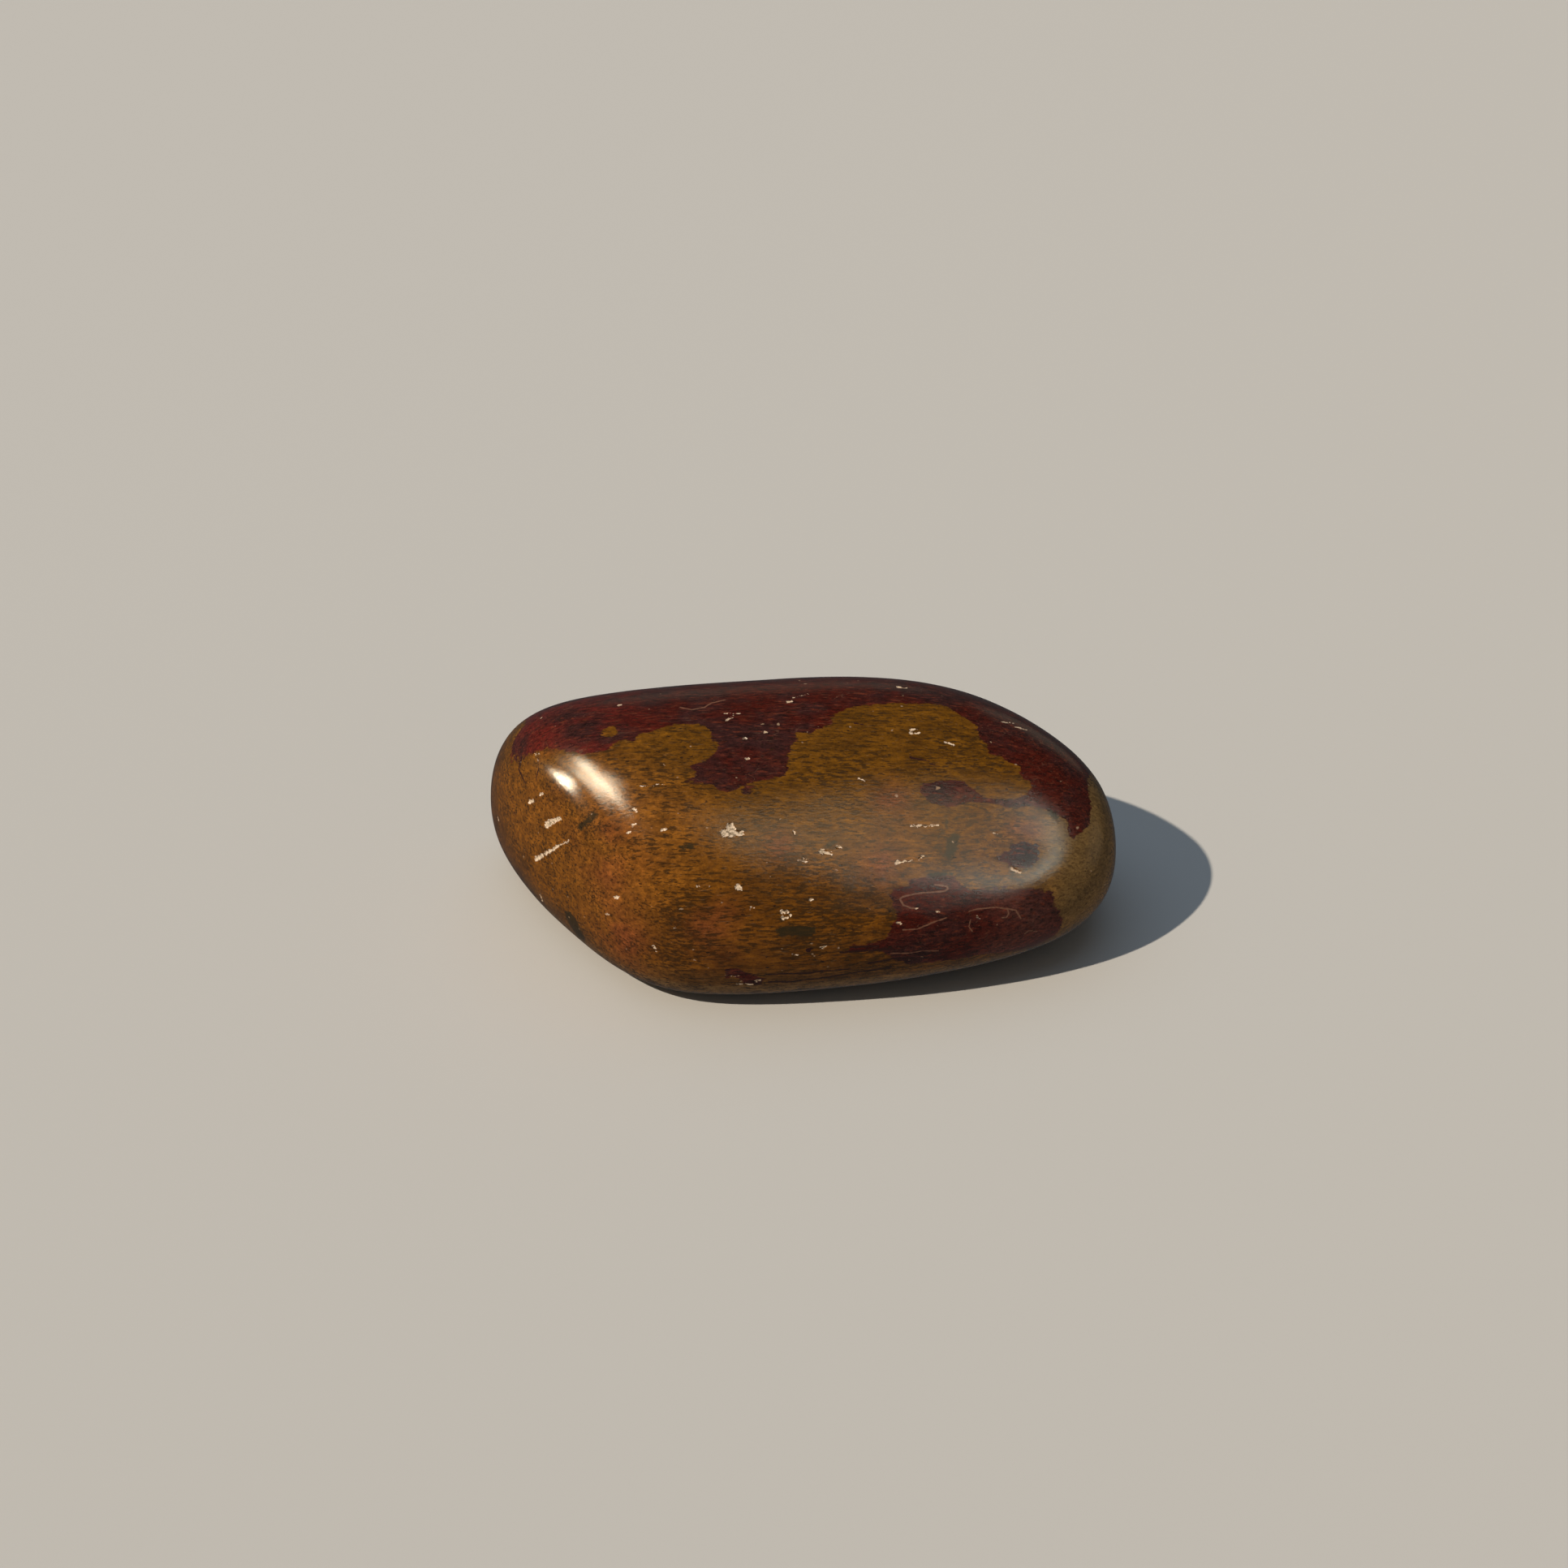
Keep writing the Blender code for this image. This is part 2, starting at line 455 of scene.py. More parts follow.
SMUDGES = [
    ((964, 1148), (998, 1147), 0.66), ((704, 1134), (712, 1150), 1.15),
    ((840, 1044), (853, 1042), 0.36), ((1176, 1032), (1170, 1052), 0.62),
    ((714, 1020), (733, 1004), 0.40),
    ((1166, 1010), (1168, 1018), 0.30), ((1296, 1002), (1300, 1006), 0.45),
    ((1020, 1041), (1029, 1038), 0.30), ((1145, 1078), (1172, 1077), 0.28),
]


def soft_spots(points, spots):
    """A value that is 1 at each spot's middle and fades over its radius."""
    total = np.zeros(len(points))
    for pixel, radius in spots:
        gap = np.linalg.norm(points - np.array(seen_at(pixel)), axis=1) / (radius * MM)
        total += np.exp(-gap ** 2)
    return np.minimum(total, 1.0)


places = positions(body)
# Three of the soft values are painted light: a sheen on the left, a reflection on the right end
# and shade low on the front.
fields = {
    "maroon": maroon,
    "chip": np.maximum(chip_depth, scratch_depth),
    "grain": grain_depth,
    "vein": vein_depth,
    "layer": layer_depth,
    "ember": soft_spots(places, EMBERS),
    "painted_sheen": soft_spots(places, PAINTED_SHEEN_SPOTS),
    "right_end_sheen": soft_spots(places, RIGHT_END_SHEEN_SPOTS),
    "rose": soft_spots(places, ROSES),
    "violet": soft_spots(places, VIOLETS),
    "painted_shade": soft_spots(places, PAINTED_SHADE_SPOTS),
    "smudge": depth_in_marks(places, SMUDGES, taper=0.0),
}
print("the skin carries", ", ".join(fields))

# %% Make the finished mesh and store the values on it
FIELD_LIMIT = 5.0

mesh = bpy.data.meshes.new("polished_pebble")
for face in body.faces:
    face.smooth = True
polished_tree = BVHTree.FromBMesh(body)
body.to_mesh(mesh)
body.free()
for name, values in fields.items():
    attribute = mesh.attributes.new(name, "FLOAT", "POINT")
    kept_values = np.clip(values, -FIELD_LIMIT, FIELD_LIMIT)
    attribute.data.foreach_set("value", kept_values.astype(np.float32))
pebble = bpy.data.objects.new("polished_pebble", mesh)
bpy.context.collection.objects.link(pebble)
print("the pebble has", len(mesh.polygons), "triangles")

# %% [markdown]
# ## Small helpers for shader nodes
# A material is a graph of nodes. Writing each node out takes five lines, so a helper adds one,
# sets its options and fills its inputs. The others name the moves that are used most, such as
# arithmetic, a soft threshold, a colour laid over another, and a noise of a given size.

# %% Define the node helpers
def add(tree, kind, inputs=None, **options):
    """Add a node, set its options, and set or connect its inputs."""
    made = tree.nodes.new(kind)
    for name, value in options.items():
        setattr(made, name, value)
    for name, value in (inputs or {}).items():
        if isinstance(value, bpy.types.NodeSocket):
            tree.links.new(value, made.inputs[name])
        else:
            made.inputs[name].default_value = value
    return made


def calculate(tree, how, *values):
    """Arithmetic on single values."""
    return add(tree, "ShaderNodeMath", dict(enumerate(values)), operation=how).outputs[0]


def threshold(tree, value, start, end):
    """0 below start and 1 above end, with a soft step between."""
    inputs = {"Value": value, "From Min": start, "From Max": end}
    return add(tree, "ShaderNodeMapRange", inputs, interpolation_type="SMOOTHSTEP").outputs[0]


def mix(tree, share, first, second, how="MIX"):
    """The first colour, with the second laid over it by a share."""
    inputs = {0: share, 6: first, 7: second}
    made = add(tree, "ShaderNodeMix", inputs, data_type="RGBA", blend_type=how)
    return made.outputs[2]


def cover(tree, colour, mask, strength, over):
    """The colour, with another laid over it where a mask is, at a strength."""
    return mix(tree, calculate(tree, "MULTIPLY", mask, strength), colour, over)


def stored(tree, name):
    """A value that the mesh carries."""
    return add(tree, "ShaderNodeAttribute", attribute_name=name).outputs["Fac"]


print("node helpers are ready")

# %% Define the patterns
NOISE_LOW = 0.28
NOISE_HIGH = 0.72


def stretched(tree, place, along, across):
    """The place, scaled so that a pattern is long in the stone's length."""
    inputs = {"Vector": place, "Scale": (1 / along, 1 / across, 1 / across)}
    return add(tree, "ShaderNodeMapping", inputs).outputs[0]


def pattern(tree, place, size, detail=3.0, roughness=0.55):
    """Noise between 0 and 1 whose lumps have a length and a width in millimetres."""
    drawn_out = stretched(tree, place, *size)
    inputs = {"Vector": drawn_out, "Scale": 1.0, "Detail": detail, "Roughness": roughness}
    return add(tree, "ShaderNodeTexNoise", inputs).outputs[0]


def centred(tree, value):
    """A noise moved down, so that its middle is 0."""
    return calculate(tree, "SUBTRACT", value, 0.5)


def shaded(tree, colour, value, dark, light):
    """The colour, made darker and lighter by a noise, from one factor to another."""
    inputs = {
        "Value": value, "From Min": NOISE_LOW, "From Max": NOISE_HIGH,
        "To Min": dark, "To Max": light,
    }
    factor = add(tree, "ShaderNodeMapRange", inputs).outputs[0]
    return mix(tree, 1.0, colour, factor, "MULTIPLY")


print("patterns are ready")

# %% [markdown]
# ## Flecks
# Pale crumbs and dark pores are the same idea: small grains scattered through the stone, each
# with its own size. A Voronoi texture gives every cell one random point, and the distance to
# it makes the grain. As a node group it is built once, and used with its own spacing and
# stretch for each kind.

# %% Build the fleck group
MIDDLE_GREY = (0.5, 0.5, 0.5)
WOBBLE_WIDTH = (0.5, 0.5, 0.5)
WOBBLE_SCALE = 2.5
WOBBLE_DETAIL = 2.0
FLECK_SOFTNESS = 0.06


def fleck_group():
    """A node group that scatters grains, each with its own place and size."""
    group = bpy.data.node_groups.new("flecks", "ShaderNodeTree")
    group.interface.new_socket("Place", in_out="INPUT", socket_type="NodeSocketVector")
    group.interface.new_socket("Size", in_out="INPUT", socket_type="NodeSocketFloat")
    group.interface.new_socket("Share", in_out="INPUT", socket_type="NodeSocketFloat")
    group.interface.new_socket("Mask", in_out="OUTPUT", socket_type="NodeSocketFloat")
    given = group.nodes.new("NodeGroupInput")
    wobble = add(
        group, "ShaderNodeTexNoise",
        {"Vector": given.outputs["Place"], "Scale": WOBBLE_SCALE, "Detail": WOBBLE_DETAIL},
    )
    shift = add(
        group, "ShaderNodeVectorMath", {0: wobble.outputs["Color"], 1: MIDDLE_GREY},
        operation="SUBTRACT",
    )
    moved = add(
        group, "ShaderNodeVectorMath",
        {0: shift.outputs[0], 1: WOBBLE_WIDTH, 2: given.outputs["Place"]},
        operation="MULTIPLY_ADD",
    )
    cells = add(group, "ShaderNodeTexVoronoi", {"Vector": moved.outputs[0], "Scale": 1.0})
    chance = add(group, "ShaderNodeSeparateColor", {"Color": cells.outputs["Color"]})
    own_size = calculate(group, "MULTIPLY", given.outputs["Size"], chance.outputs[1])
    edge = calculate(group, "SUBTRACT", own_size, cells.outputs["Distance"])
    grain = threshold(group, edge, 0.0, FLECK_SOFTNESS)
    chosen = calculate(group, "LESS_THAN", chance.outputs[0], given.outputs["Share"])
    mask = calculate(group, "MULTIPLY", grain, chosen)
    result = group.nodes.new("NodeGroupOutput")
    group.links.new(mask, result.inputs["Mask"])
    return group


FLECKS = fleck_group()


def flecks(tree, place, spacing, size, share):
    """A mask of scattered grains: their spacing, their size in cells, and how many show."""
    inputs = {"Place": stretched(tree, place, *spacing), "Size": size, "Share": share}
    return add(tree, "ShaderNodeGroup", inputs, node_tree=FLECKS).outputs["Mask"]


print("the fleck group has", len(FLECKS.nodes), "nodes")

# %% [markdown]
# ## The mustard stone
# The mustard part is fine-grained and drawn out along the stone like brushed paint: darker and
# lighter threads, short dark dashes, and slow changes from olive to brown. Every layer is
# noise on the stone's own coordinates, stretched along its length. Over this lie painted
# shade towards the base, a painted floor reflection along the bottom edge, a painted sheen on
# the lit left side, painted shade low on the front and a painted reflection on the right end.

# %% Choose the mustard's colours and patterns
OLIVE = (0.133, 0.050, 0.0008, 1)
OCHRE = (0.166, 0.056, 0.0022, 1)
BROWN = (0.120, 0.041, 0.0018, 1)
# Painted sheen on the lit left side.
PAINTED_SHEEN = (0.214, 0.075, 0.0060, 1)
EMBER = (0.206, 0.048, 0.0150, 1)
# Painted reflection and bounce light on the right end, patterned and plain.
RIGHT_END_SHEEN = (0.204, 0.112, 0.0320, 1)
EVEN_RIGHT_END_SHEEN = (0.175, 0.096, 0.0300, 1)
# Painted shade, darker towards the base.
BASE_SHADE = (0.112, 0.046, 0.0080, 1)
# Painted reflection of the floor along the bottom edge.
FLOOR_REFLECTION = (0.160, 0.086, 0.0290, 1)
DARK_STROKE = (0.040, 0.018, 0.0030, 1)

CLOUDS = (7.0, 4.0)
DRAWN_LUMPS = (1.7, 0.36)
ROUND_LUMPS = (0.75, 0.45)
BLOTCHES = (3.2, 1.5)
STROKE_CROWDS = (5.0, 3.0)
STROKES = (1.1, 0.22)

UPPER_SIDE = (15.0, 20.0)
# Where the painted shade at the base begins, in mm of height.
BASE_SHADE_TOP = (7.0, 4.5)
# Where the painted floor reflection begins, in mm of height.
FLOOR_REFLECTION_TOP = (4.2, 3.2)
LEFT_END = (0.0, -14.0)
print("mustard runs from", OCHRE[:3], "to", BROWN[:3])

# %% Colour the mustard stone
CLOUD_EDGES = (0.35, 0.65)
EMBER_EDGES = (0.3, 0.7)
EMBER_STRENGTH = 0.7
LUMP_SHADES = (0.42, 1.62)
BLOTCH_SHADES = (0.72, 1.28)
# How much the painted shade crowds the dark strokes.
SHADE_CROWDING = 0.20
CROWDING = 0.30
STROKE_EDGES = (0.68, 0.76)
STROKE_STRENGTH = 0.80
# How strongly the plain painted reflection covers the right end.
EVEN_STRENGTH = 0.45


def mustard_tone(tree, place):
    """The slow changes of colour and the painted shade, sheen and reflections, before any grain.
    """
    clouds = pattern(tree, place, CLOUDS)
    height = add(tree, "ShaderNodeSeparateXYZ", {"Vector": place}).outputs["Z"]
    colour = mix(tree, threshold(tree, clouds, *CLOUD_EDGES), OCHRE, BROWN)
    colour = mix(tree, threshold(tree, height, *UPPER_SIDE), colour, OLIVE)
    # Painted shade towards the base.
    colour = mix(tree, threshold(tree, height, *BASE_SHADE_TOP), colour, BASE_SHADE)
    # A painted floor reflection along the bottom edge.
    colour = mix(tree, threshold(tree, height, *FLOOR_REFLECTION_TOP), colour, FLOOR_REFLECTION)
    # Painted sheen on the lit left side, then painted reflection and bounce light on the right
    # end.
    colour = mix(tree, stored(tree, "painted_sheen"), colour, PAINTED_SHEEN)
    colour = mix(tree, stored(tree, "right_end_sheen"), colour, RIGHT_END_SHEEN)
    red = calculate(
        tree, "MULTIPLY", stored(tree, "ember"), threshold(tree, clouds, *EMBER_EDGES),
    )
    return cover(tree, colour, red, EMBER_STRENGTH, EMBER)


def mustard_colour(tree, place):
    """The mustard tone with lumps, blotches, dark strokes crowded in painted shade, and painted
    reflection.
    """
    drawn = pattern(tree, place, DRAWN_LUMPS, detail=4.0, roughness=0.62)
    rounded = pattern(tree, place, ROUND_LUMPS, detail=4.0, roughness=0.62)
    along = add(tree, "ShaderNodeSeparateXYZ", {"Vector": place}).outputs["X"]
    leftness = threshold(tree, along, *LEFT_END)
    blend = {"Factor": leftness, "A": drawn, "B": rounded}
    lumps = add(tree, "ShaderNodeMix", blend).outputs["Result"]
    colour = shaded(tree, mustard_tone(tree, place), lumps, *LUMP_SHADES)
    blotches = pattern(tree, place, BLOTCHES, detail=2.0)
    colour = shaded(tree, colour, blotches, *BLOTCH_SHADES)
    crowd = pattern(tree, place, STROKE_CROWDS, detail=2.0)
    # The dark strokes crowd where painted shade lies low on the front.
    crowd = calculate(tree, "MULTIPLY_ADD", stored(tree, "painted_shade"), SHADE_CROWDING, crowd)
    strokes = pattern(tree, place, STROKES, roughness=0.6)
    strokes = calculate(tree, "MULTIPLY_ADD", crowd, CROWDING, strokes)
    strokes = threshold(tree, strokes, *STROKE_EDGES)
    colour = cover(tree, colour, strokes, STROKE_STRENGTH, DARK_STROKE)
    # A plain painted reflection and bounce light over the right end.
    return cover(tree, colour, stored(tree, "right_end_sheen"), EVEN_STRENGTH, EVEN_RIGHT_END_SHEEN)


print("the dark strokes are about", STROKES[0], "mm long and", STROKES[1], "mm wide")

# %% [markdown]
# ## The maroon stone
# The maroon is denser and darker, with a plum cast and faint lighter threads. The fine tan
# veins that show in the photograph were traced. More of them are left to chance: a vein is
# where a slow noise crosses its middle value, a line that is thin and always closes.

# %% Choose the maroon's colours and patterns
MAROON = (0.052, 0.0048, 0.0012, 1)
CRIMSON = (0.092, 0.0090, 0.0050, 1)
ROSE = (0.110, 0.035, 0.0240, 1)
PLUM = (0.034, 0.0095, 0.0075, 1)
VIOLET = (0.014, 0.0035, 0.0080, 1)
RUST = (0.095, 0.0180, 0.0070, 1)
VEIN = (0.210, 0.095, 0.055, 1)
LAYER = (0.030, 0.0090, 0.0060, 1)

MAROON_CLOUDS = (6.0, 4.0)
THREADS = (1.4, 0.30)
MAROON_LUMPS = (1.0, 0.32)
LOOPS = (3.5, 1.3)
LOOP_REGIONS = (4.0, 3.0)
WIGGLES = (0.5, 0.4)
print("maroon runs from", MAROON[:3], "to", PLUM[:3])

# %% Colour the maroon stone
CRIMSON_END = (-10.0, -24.0)
PLUM_EDGES = (0.40, 0.62)
ROSE_STRENGTH = 0.6
VIOLET_STRENGTH = 0.8
RUST_EDGES = (0.52, 0.68)
MAROON_SHADES = (0.15, 2.10)
LOOP_EDGES = (0.012, 0.003)
REGION_EDGES = (0.52, 0.62)
LOOP_STRENGTH = 0.35
WIGGLE_HEIGHT = 0.14
VEIN_EDGES = (0.03, 0.08)
VEIN_STRENGTH = 0.85


def vein_mask(tree, place):
    """The traced veins, and a few fainter ones left to chance."""
    loops = pattern(tree, place, LOOPS, detail=1.5)
    middle_line = calculate(tree, "ABSOLUTE", centred(tree, loops))
    regions = threshold(tree, pattern(tree, place, LOOP_REGIONS), *REGION_EDGES)
    chance_veins = calculate(
        tree, "MULTIPLY", threshold(tree, middle_line, *LOOP_EDGES), regions,
    )
    chance_veins = calculate(tree, "MULTIPLY", chance_veins, LOOP_STRENGTH)
    wiggle = pattern(tree, place, WIGGLES, detail=2.0)
    traced = calculate(tree, "MULTIPLY_ADD", wiggle, WIGGLE_HEIGHT, stored(tree, "vein"))
    return calculate(tree, "MAXIMUM", chance_veins, threshold(tree, traced, *VEIN_EDGES))


def maroon_colour(tree, place):
    """Maroon with plum clouds, rust threads, lumps and veins."""
    along = add(tree, "ShaderNodeSeparateXYZ", {"Vector": place}).outputs["X"]
    colour = mix(tree, threshold(tree, along, *CRIMSON_END), MAROON, CRIMSON)
    clouds = pattern(tree, place, MAROON_CLOUDS)
    colour = mix(tree, threshold(tree, clouds, *PLUM_EDGES), colour, PLUM)
    colour = cover(tree, colour, stored(tree, "rose"), ROSE_STRENGTH, ROSE)
    colour = cover(tree, colour, stored(tree, "violet"), VIOLET_STRENGTH, VIOLET)
    threads = pattern(tree, place, THREADS, detail=4.0, roughness=0.65)
    colour = mix(tree, threshold(tree, threads, *RUST_EDGES), colour, RUST)
    lumps = pattern(tree, place, MAROON_LUMPS, detail=5.0, roughness=0.7)
    colour = shaded(tree, colour, lumps, *MAROON_SHADES)
    return cover(tree, colour, vein_mask(tree, place), VEIN_STRENGTH, VEIN)


print("the traced veins have soft edges over", VEIN_EDGES, "mm")

# %% [markdown]
# ## The whole stone
# The layers come together in the order in which they lie: mustard, then the maroon patches
# with an edge that frays along the grain, then smudges, dark grains and layers, pores, pale
# crumbs and chips. The polish is one clear gloss over everything except the chips, which stay
# dull. Its finest scratches scatter a little light, so a second, rougher coat gives each
# highlight a haze.

# %% Choose the colours and patterns of the marks
CHIP_COLOUR = (0.82, 0.62, 0.43, 1)
CHIP_FLOOR_COLOUR = (0.22, 0.15, 0.08, 1)
SMUDGE_COLOUR = (0.030, 0.021, 0.007, 1)
CRUMB_COLOUR = (0.42, 0.27, 0.16, 1)
PORE_COLOUR = (0.020, 0.009, 0.003, 1)

FRAYS = (1.1, 0.35)
SAND = (0.22, 0.16)
SCUFFS = (1.8, 0.07)
CRUMBLE = (0.40, 0.26)
HAZE = (4.0, 2.5)
RELIEF = (0.5, 0.2)
PORE_SPACING = (1.1, 0.6)
CRUMB_SPACING = (1.4, 1.0)
print("the finest pattern is", min(SCUFFS), "mm across")

# %% Fray the patches and add the sand
FRAY_WIDTH = 1.3
PATCH_EDGES = (-0.08, 0.08)
SAND_SHADES = (0.74, 1.27)
SCUFF_EDGES = (0.64, 0.74)
SCUFF_STRENGTH = 0.22


def patch_mask(tree, fray):
    """Where the stone is maroon, with an edge that frays along the grain."""
    depth = calculate(tree, "MULTIPLY_ADD", fray, FRAY_WIDTH, stored(tree, "maroon"))
    return threshold(tree, depth, *PATCH_EDGES)


def ground_colour(tree, place, patch):
    """Mustard and maroon together, with fine sand and long scuffs."""
    colour = mix(tree, patch, mustard_colour(tree, place), maroon_colour(tree, place))
    colour = shaded(tree, colour, pattern(tree, place, SAND, roughness=0.6), *SAND_SHADES)
    scuffs = threshold(tree, pattern(tree, place, SCUFFS, detail=2.0), *SCUFF_EDGES)
    return cover(tree, colour, scuffs, SCUFF_STRENGTH, CRUMB_COLOUR)


print("patch edges fray by up to", FRAY_WIDTH / 2, "mm")

# %% Lay the dark and pale marks over the ground
SMUDGE_FRAY = 0.9
SMUDGE_EDGES = (-0.05, 0.25)
SMUDGE_STRENGTH = 0.88
GRAIN_FRAY = 0.25
GRAIN_EDGES = (0.0, 0.05)
LAYER_FRAY = 0.5
LAYER_EDGES = (-0.02, 0.05)
LAYER_STRENGTH = 0.90
PORE_SIZE = 0.24
PORE_SHARE = 0.40
CRUMB_SIZE = 0.15
CRUMB_SHARE = 0.42
FLECK_STRENGTH = 0.8
CHIP_FRAY = 0.80
CHIP_EDGES = (0.0, 0.05)
CHIP_FLOOR_EDGES = (-0.12, 0.06)
MAROON_CHIP_STRENGTH = 0.5


def frayed(tree, name, noise_value, width):
    """How deep a point is inside a stored mark, moved by a noise."""
    return calculate(tree, "MULTIPLY_ADD", noise_value, width, stored(tree, name))


def dark_marks(tree, place, colour, fray, crumble):
    """The colour with its smudges, dark grains, dark layers, pores and crumbs."""
    smudge = threshold(tree, frayed(tree, "smudge", crumble, SMUDGE_FRAY), *SMUDGE_EDGES)
    colour = cover(tree, colour, smudge, SMUDGE_STRENGTH, SMUDGE_COLOUR)
    grain = threshold(tree, frayed(tree, "grain", crumble, GRAIN_FRAY), *GRAIN_EDGES)
    colour = mix(tree, grain, colour, PLUM)
    layer = threshold(tree, frayed(tree, "layer", fray, LAYER_FRAY), *LAYER_EDGES)
    colour = cover(tree, colour, layer, LAYER_STRENGTH, LAYER)
    pores = flecks(tree, place, PORE_SPACING, PORE_SIZE, PORE_SHARE)
    colour = cover(tree, colour, pores, FLECK_STRENGTH, PORE_COLOUR)
    crumbs = flecks(tree, place, CRUMB_SPACING, CRUMB_SIZE, CRUMB_SHARE)
    return cover(tree, colour, crumbs, FLECK_STRENGTH, CRUMB_COLOUR)


def chip_shade(tree, patch, crumble):
    """The pale inside of a chip, with a darker floor, and dimmer in the maroon."""
    floor_mask = threshold(tree, crumble, *CHIP_FLOOR_EDGES)
    shade = mix(tree, floor_mask, CHIP_FLOOR_COLOUR, CHIP_COLOUR)
    return cover(tree, shade, patch, MAROON_CHIP_STRENGTH, CRUMB_COLOUR)


print("chips are", CHIP_COLOUR[:3], "and smudges are", SMUDGE_COLOUR[:3])

# %% Build the stone's material
POLISH = 0.11
HAZE_ROUGHNESS = 0.08
CHIP_ROUGHNESS = 0.75
BUMP_STRENGTH = 0.5
BUMP_HEIGHT = 0.03 * MM
STONE_IOR = 1.54
STONE_SPECULAR = 0.5
COAT_WEIGHT = 0.13
COAT_ROUGHNESS = 0.26


def stone_material():
    """The polished stone, from its ground to its gloss."""
    material = bpy.data.materials.new("polished_stone")
    material.use_nodes = True
    tree = material.node_tree
    tree.nodes.clear()
    metres = add(tree, "ShaderNodeTexCoord").outputs["Object"]
    place = add(tree, "ShaderNodeMapping", {"Vector": metres, "Scale": (1 / MM,) * 3}).outputs[0]
    fray = centred(tree, pattern(tree, place, FRAYS, detail=5.0, roughness=0.65))
    crumble = centred(tree, pattern(tree, place, CRUMBLE, roughness=0.65))
    patch = patch_mask(tree, fray)
    colour = ground_colour(tree, place, patch)
    colour = dark_marks(tree, place, colour, fray, crumble)
    chips = threshold(tree, frayed(tree, "chip", crumble, CHIP_FRAY), *CHIP_EDGES)
    colour = mix(tree, chips, colour, chip_shade(tree, patch, crumble))

    haze = pattern(tree, place, HAZE, detail=4.0)
    gloss = calculate(tree, "MULTIPLY_ADD", haze, HAZE_ROUGHNESS, POLISH)
    dull = calculate(tree, "MULTIPLY", chips, CHIP_ROUGHNESS)
    rough = calculate(tree, "MAXIMUM", gloss, dull)
    relief = pattern(tree, place, RELIEF, detail=4.0, roughness=0.65)
    bump = add(
        tree, "ShaderNodeBump",
        {"Height": relief, "Strength": BUMP_STRENGTH, "Distance": BUMP_HEIGHT},
    )
    shader = add(tree, "ShaderNodeBsdfPrincipled", {
        "Base Color": colour, "Roughness": rough, "Normal": bump.outputs[0],
        "IOR": STONE_IOR, "Specular IOR Level": STONE_SPECULAR,
        "Coat Weight": COAT_WEIGHT, "Coat Roughness": COAT_ROUGHNESS,
    })
    output = add(tree, "ShaderNodeOutputMaterial")
    tree.links.new(shader.outputs[0], output.inputs["Surface"])
    return material


stone = stone_material()
pebble.data.materials.append(stone)
print("the stone's material has", len(stone.node_tree.nodes), "nodes")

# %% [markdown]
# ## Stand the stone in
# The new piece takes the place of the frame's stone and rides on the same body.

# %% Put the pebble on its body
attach(pebble, "root")
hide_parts("bloodstone")
print("the pebble stands for the frame's stone")

# %% [markdown]
# ## The floor
# A plain pale surface, wide enough to fill every view. It isn't part of the object.

# %% Lay the floor
FLOOR_COLOUR = (0.60, 0.57, 0.52, 1)
FLOOR_ROUGHNESS = 0.7
FLOOR_SIZE = 6.0

floor_mesh = bpy.data.meshes.new("floor")
sheet = bmesh.new()
bmesh.ops.create_grid(sheet, x_segments=1, y_segments=1, size=FLOOR_SIZE / 2)
sheet.to_mesh(floor_mesh)
sheet.free()
floor = bpy.data.objects.new("floor", floor_mesh)
bpy.context.collection.objects.link(floor)
paint = bpy.data.materials.new("floor_paint")
paint.use_nodes = True
paint_inputs = paint.node_tree.nodes["Principled BSDF"].inputs
paint_inputs["Base Color"].default_value = FLOOR_COLOUR
paint_inputs["Roughness"].default_value = FLOOR_ROUGHNESS
paint_inputs["Specular IOR Level"].default_value = 0.0
floor.data.materials.append(paint)
floor.visible_glossy = False
floor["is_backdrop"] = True
print("the floor is", FLOOR_SIZE, "m wide")

# %% [markdown]
# ## The light
# One warm key from the left makes the shadow, and a wide cool fill lightens it. A polished
# stone also shows what stands around it, so more lamps are there only to be mirrored. Each one
# hangs where the skin mirrors it to a pixel of the photograph: a ray goes from the camera to
# the skin at that pixel and bounces off, and the lamp hangs on the bounced ray.

# %% Show colours as they are
bpy.context.scene.view_settings.view_transform = "Standard"
print("the view is", bpy.context.scene.view_settings.view_transform)

# %% Define the lamps
LAMP_DISTANCE = 1.0
LOWEST_LAMP = 0.06
NORMAL_REACH = 6


def towards(compass, elevation):
    """The unit vector to a place in the sky, from +X towards +Y and up."""
    turn = math.radians(compass)
    rise = math.radians(elevation)
    return Vector((
        math.cos(turn) * math.cos(rise), math.sin(turn) * math.cos(rise), math.sin(rise),
    ))


def mirrored_at(pixel):
    """The direction that the polished skin mirrors to the camera at a pixel."""
    normal = Vector()
    for right in (-NORMAL_REACH, 0, NORMAL_REACH):
        for down in (-NORMAL_REACH, 0, NORMAL_REACH):
            normal += look(polished_tree, (pixel[0] + right, pixel[1] + down))[1]
    sight = (look(polished_tree, pixel)[0] - camera.location).normalized()
    direction = sight.reflect(normal.normalized())
    direction.z = max(direction.z, LOWEST_LAMP)
    return direction.normalized()


def disc(name, direction, spread, brightness, colour):
    """A round soft lamp that faces the stone. Its spread is half its angle, in degrees."""
    data = bpy.data.lights.new(name, "AREA")
    data.shape = "DISK"
    radius = LAMP_DISTANCE * math.tan(math.radians(spread))
    data.size = 2 * radius
    data.energy = brightness * (math.pi * radius) ** 2
    data.color = colour
    lamp = bpy.data.objects.new(name, data)
    lamp.location = middle + direction * LAMP_DISTANCE
    lamp.rotation_euler = direction.to_track_quat("Z", "Y").to_euler()
    lamp.visible_camera = False
    bpy.context.collection.objects.link(lamp)
    return lamp


print("lamps hang", LAMP_DISTANCE, "m from the stone")

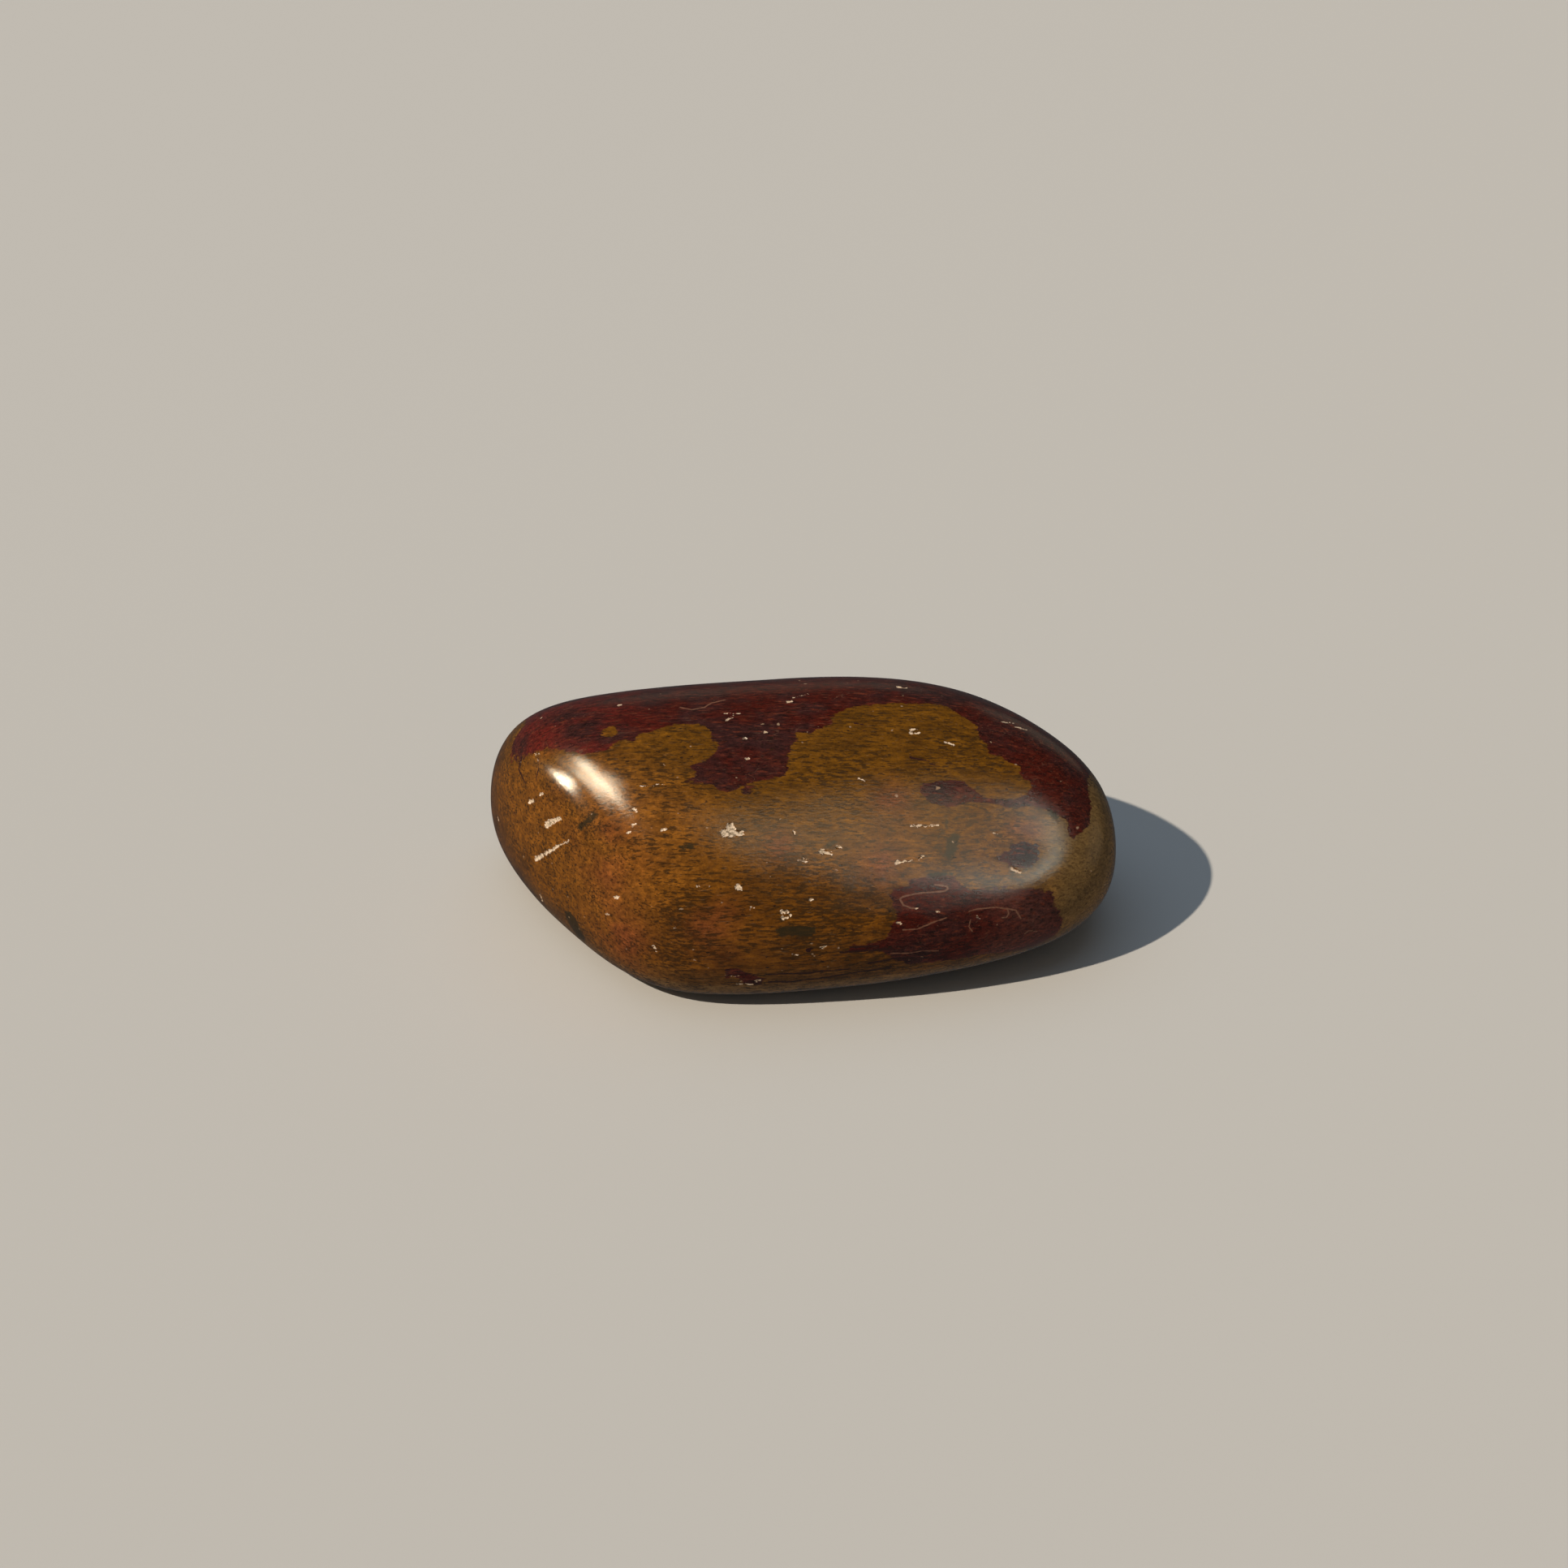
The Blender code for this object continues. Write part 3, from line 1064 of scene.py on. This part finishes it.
# %% Hang the key and the fill
KEY_DIRECTION = towards(204, 48)
KEY_STRENGTH = 2.95
KEY_WIDTH = math.radians(1.0)
KEY_COLOUR = (1.0, 0.91, 0.79)
FILL_DIRECTION = towards(120, 75)
FILL_SPREAD = 35
FILL_BRIGHTNESS = 0.53
FILL_COLOUR = (0.46, 0.69, 1.0)

key_data = bpy.data.lights.new("key", "SUN")
key_data.energy = KEY_STRENGTH
key_data.angle = KEY_WIDTH
key_data.color = KEY_COLOUR
key = bpy.data.objects.new("key", key_data)
key.rotation_euler = KEY_DIRECTION.to_track_quat("Z", "Y").to_euler()
key.visible_glossy = False
bpy.context.collection.objects.link(key)

fill = disc("fill", FILL_DIRECTION, FILL_SPREAD, FILL_BRIGHTNESS, FILL_COLOUR)
fill.visible_glossy = False
print("the key and the fill are hung")

# %% Hang the lamps that the polish mirrors
WARM = (1.0, 0.86, 0.62)
AMBER = (1.0, 0.78, 0.50)
PALE = (0.94, 1.0, 0.86)
MIRRORED = [
    ("highlight", (716, 942), 8.0, 11.0, WARM),
    ("highlight", (724, 945), 8.0, 11.0, WARM),
    ("highlight", (716, 957), 7.0, 11.0, WARM),
    ("highlight", (730, 958), 9.0, 12.0, WARM),
    ("highlight", (742, 970), 9.0, 12.0, WARM),
    ("highlight", (754, 979), 7.0, 12.0, WARM),
    ("highlight", (732, 974), 8.0, 10.0, WARM),
    ("highlight", (748, 962), 8.0, 10.0, WARM),
    ("second", (691, 968), 2.5, 100.0, WARM),
    ("second", (695, 965), 2.5, 115.0, WARM),
    ("second", (699, 962), 2.5, 110.0, WARM),
    ("second", (702, 960), 2.5, 80.0, WARM),
    ("halo", (706, 950), 13.0, 1.7, WARM),
    ("halo", (718, 958), 20.0, 0.8, WARM),
    ("sheen", (910, 1028), 4.5, 1.40, AMBER),
    ("sheen", (985, 1030), 4.5, 0.78, AMBER),
    ("sheen", (1060, 1034), 4.5, 0.78, AMBER),
    ("sheen", (1125, 1042), 4.5, 0.62, AMBER),
    ("patch_sheen", (1200, 1108), 9.0, 0.4, PALE),
    ("ring", (1235, 1002), 2.0, 1.2, PALE),
    ("ring", (1260, 1002), 2.0, 4.2, PALE),
    ("ring", (1280, 1009), 2.0, 10.2, PALE),
    ("ring", (1297, 1025), 2.0, 14.4, PALE),
    ("ring", (1303, 1045), 2.0, 15.0, PALE),
    ("ring", (1295, 1066), 2.0, 13.8, PALE),
    ("ring", (1277, 1079), 2.0, 13.2, PALE),
    ("ring", (1250, 1084), 2.0, 11.4, PALE),
    ("ring", (1220, 1083), 2.0, 11.5, PALE),
    ("ring", (1190, 1076), 2.0, 9.0, PALE),
    ("ring", (1160, 1069), 2.0, 2.7, PALE),
    ("right_haze", (1350, 1040), 14.0, 0.16, PALE),
    ("back_haze", (1290, 915), 14.0, 0.20, WARM),
    ("back_haze", (1000, 846), 9.0, 0.12, WARM),
]

for name, pixel, spread, brightness, colour in MIRRORED:
    lamp = disc(name, mirrored_at(pixel), spread, brightness, colour)
    lamp.visible_diffuse = False
print("lamps:", len(bpy.data.lights))

# %% Light the sky
SKY_COLOUR = (0.108, 0.112, 0.116, 1)
SKY_DIMMING = 0.55

world = bpy.data.worlds.new("world")
world.use_nodes = True
sky = world.node_tree.nodes["Background"]
sky.inputs["Color"].default_value = SKY_COLOUR
mirrored_ray = add(world.node_tree, "ShaderNodeLightPath").outputs["Is Glossy Ray"]
sky_strength = calculate(world.node_tree, "MULTIPLY_ADD", mirrored_ray, -SKY_DIMMING, 1.0)
world.node_tree.links.new(sky_strength, sky.inputs["Strength"])
bpy.context.scene.world = world
print("the polish mirrors", round(100 * (1 - SKY_DIMMING)), "% of the sky's brightness")

# %% [markdown]
# ## Print the size and finish
# The dressed stone must fill the same box as the frame's stone, so its size is printed, as the
# frame's was at the start.

# %% Print the size and finish
seen_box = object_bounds()
dressed_size = seen_box[1] - seen_box[0]
print("the dressed stone measures", [round(side / MM, 2) for side in dressed_size], "mm")
